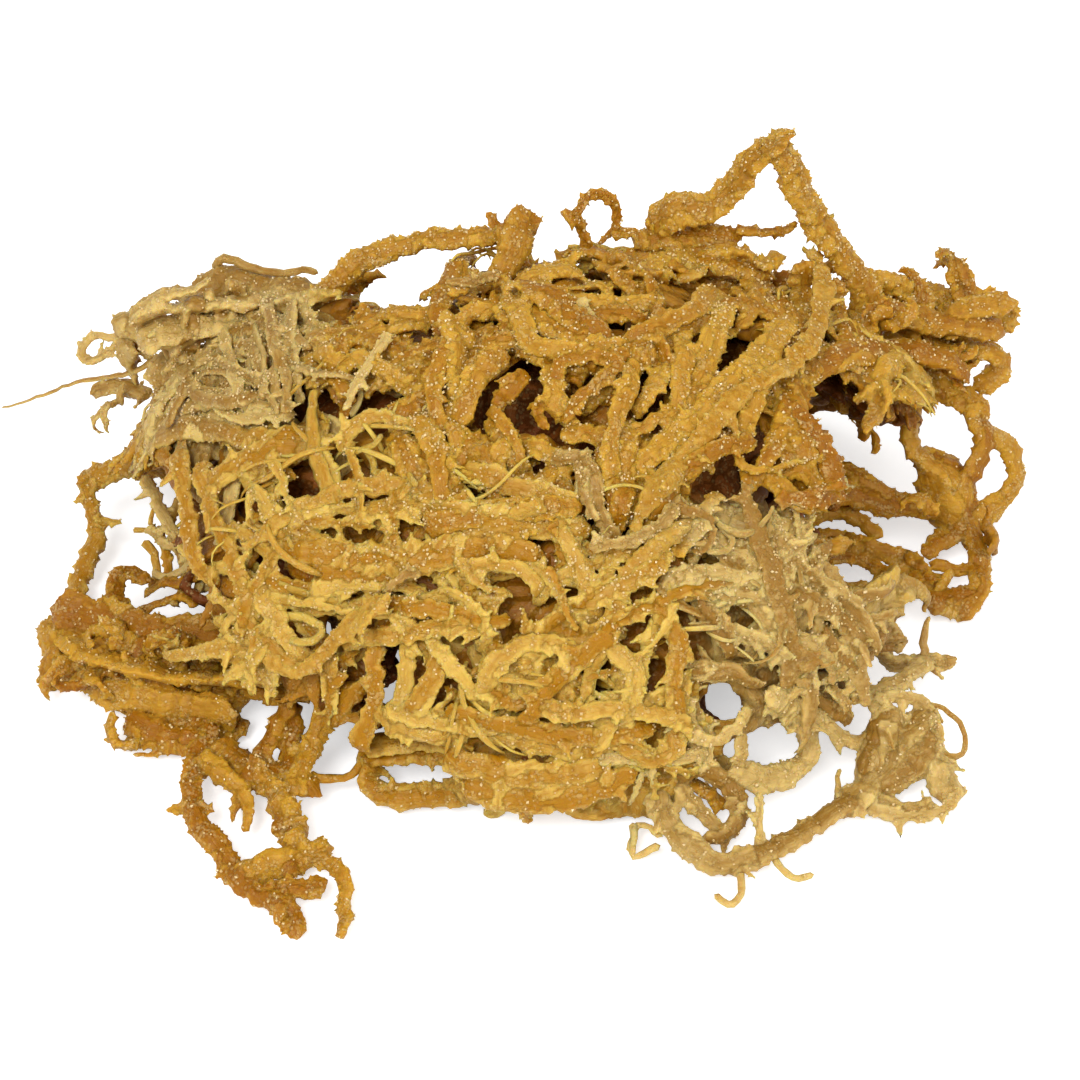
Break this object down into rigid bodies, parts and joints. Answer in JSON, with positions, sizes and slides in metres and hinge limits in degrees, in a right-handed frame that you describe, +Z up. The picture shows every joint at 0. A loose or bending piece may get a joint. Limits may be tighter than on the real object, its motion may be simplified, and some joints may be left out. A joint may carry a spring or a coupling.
{
  "type": "dried sea moss",
  "caption": "Free-standing heap of dried, salted sea moss: curved tapering fronds with forks and spurs, tangled into a low rounded mound with rings and arches round its rim.",
  "frame": {"origin": "on the table under the heap, at the middle of its bounding box's base", "axes": "+X to the right as the heap is seen from its low front, +Y towards its steeper back, +Z up out of the table"},
  "size_m": [0.2266, 0.162, 0.0879],
  "materials": {
    "pale_frond": "dry, slightly translucent, satin, dusted with salt",
    "gold_frond": "dry, translucent golden, satin, dusted with salt",
    "amber_frond": "dry, translucent deep amber, satin, dusted with salt"
  },
  "bodies": {
    "root": {"left_arch_top": "gold_frond", "left_arch_leg": "gold_frond", "left_curl": "amber_frond", "left_mat_rim": "amber_frond", "left_mat_middle": "amber_frond", "left_mat_inner": "amber_frond", "dangling_outer": "gold_frond", "dangling_inner": "gold_frond", "dangling_middle": "gold_frond", "bottom_loop_lower": "pale_frond", "bottom_loop_upper": "pale_frond", "bottom_rim": "gold_frond", "front_ring": "pale_frond", "front_slant": "pale_frond", "elbow_near": "pale_frond", "elbow_far": "pale_frond", "curled_blade": "pale_frond", "crescent": "pale_frond", "pouch": "pale_frond", "right_arm": "pale_frond", "right_fall_left": "pale_frond", "right_fall_right": "pale_frond", "ring_limb": "amber_frond", "ring_inner": "amber_frond", "ring_link": "amber_frond", "right_limb_back": "gold_frond", "right_limb_front": "amber_frond", "lower_bar": "amber_frond", "lower_ring": "amber_frond", "right_lump": "amber_frond", "peak_left": "gold_frond", "peak_right": "gold_frond", "top_ring": "gold_frond", "knob": "gold_frond", "toothed_arch": "gold_frond", "crest_bow": "gold_frond", "crest_back": "amber_frond", "crest_middle": "amber_frond", "crest_left": "gold_frond", "pale_edge_top": "pale_frond", "pale_edge_left": "pale_frond", "pale_broad_back": "pale_frond", "pale_broad_front": "pale_frond", "pale_loop": "pale_frond", "long_fall": "pale_frond", "middle_fall": "gold_frond", "coiled_frond": "amber_frond", "antler_stem": "pale_frond", "antler_side": "pale_frond", "long_span": "pale_frond", "slant_frond": "gold_frond", "toothed_flap": "gold_frond", "u_bend": "pale_frond", "left_shoulder": "gold_frond", "inner_frond_1": "amber_frond", "inner_frond_2": "amber_frond", "inner_frond_3": "amber_frond", "inner_frond_4": "amber_frond", "inner_frond_5": "amber_frond", "inner_frond_6": "amber_frond"}
  },
  "joints": []
}
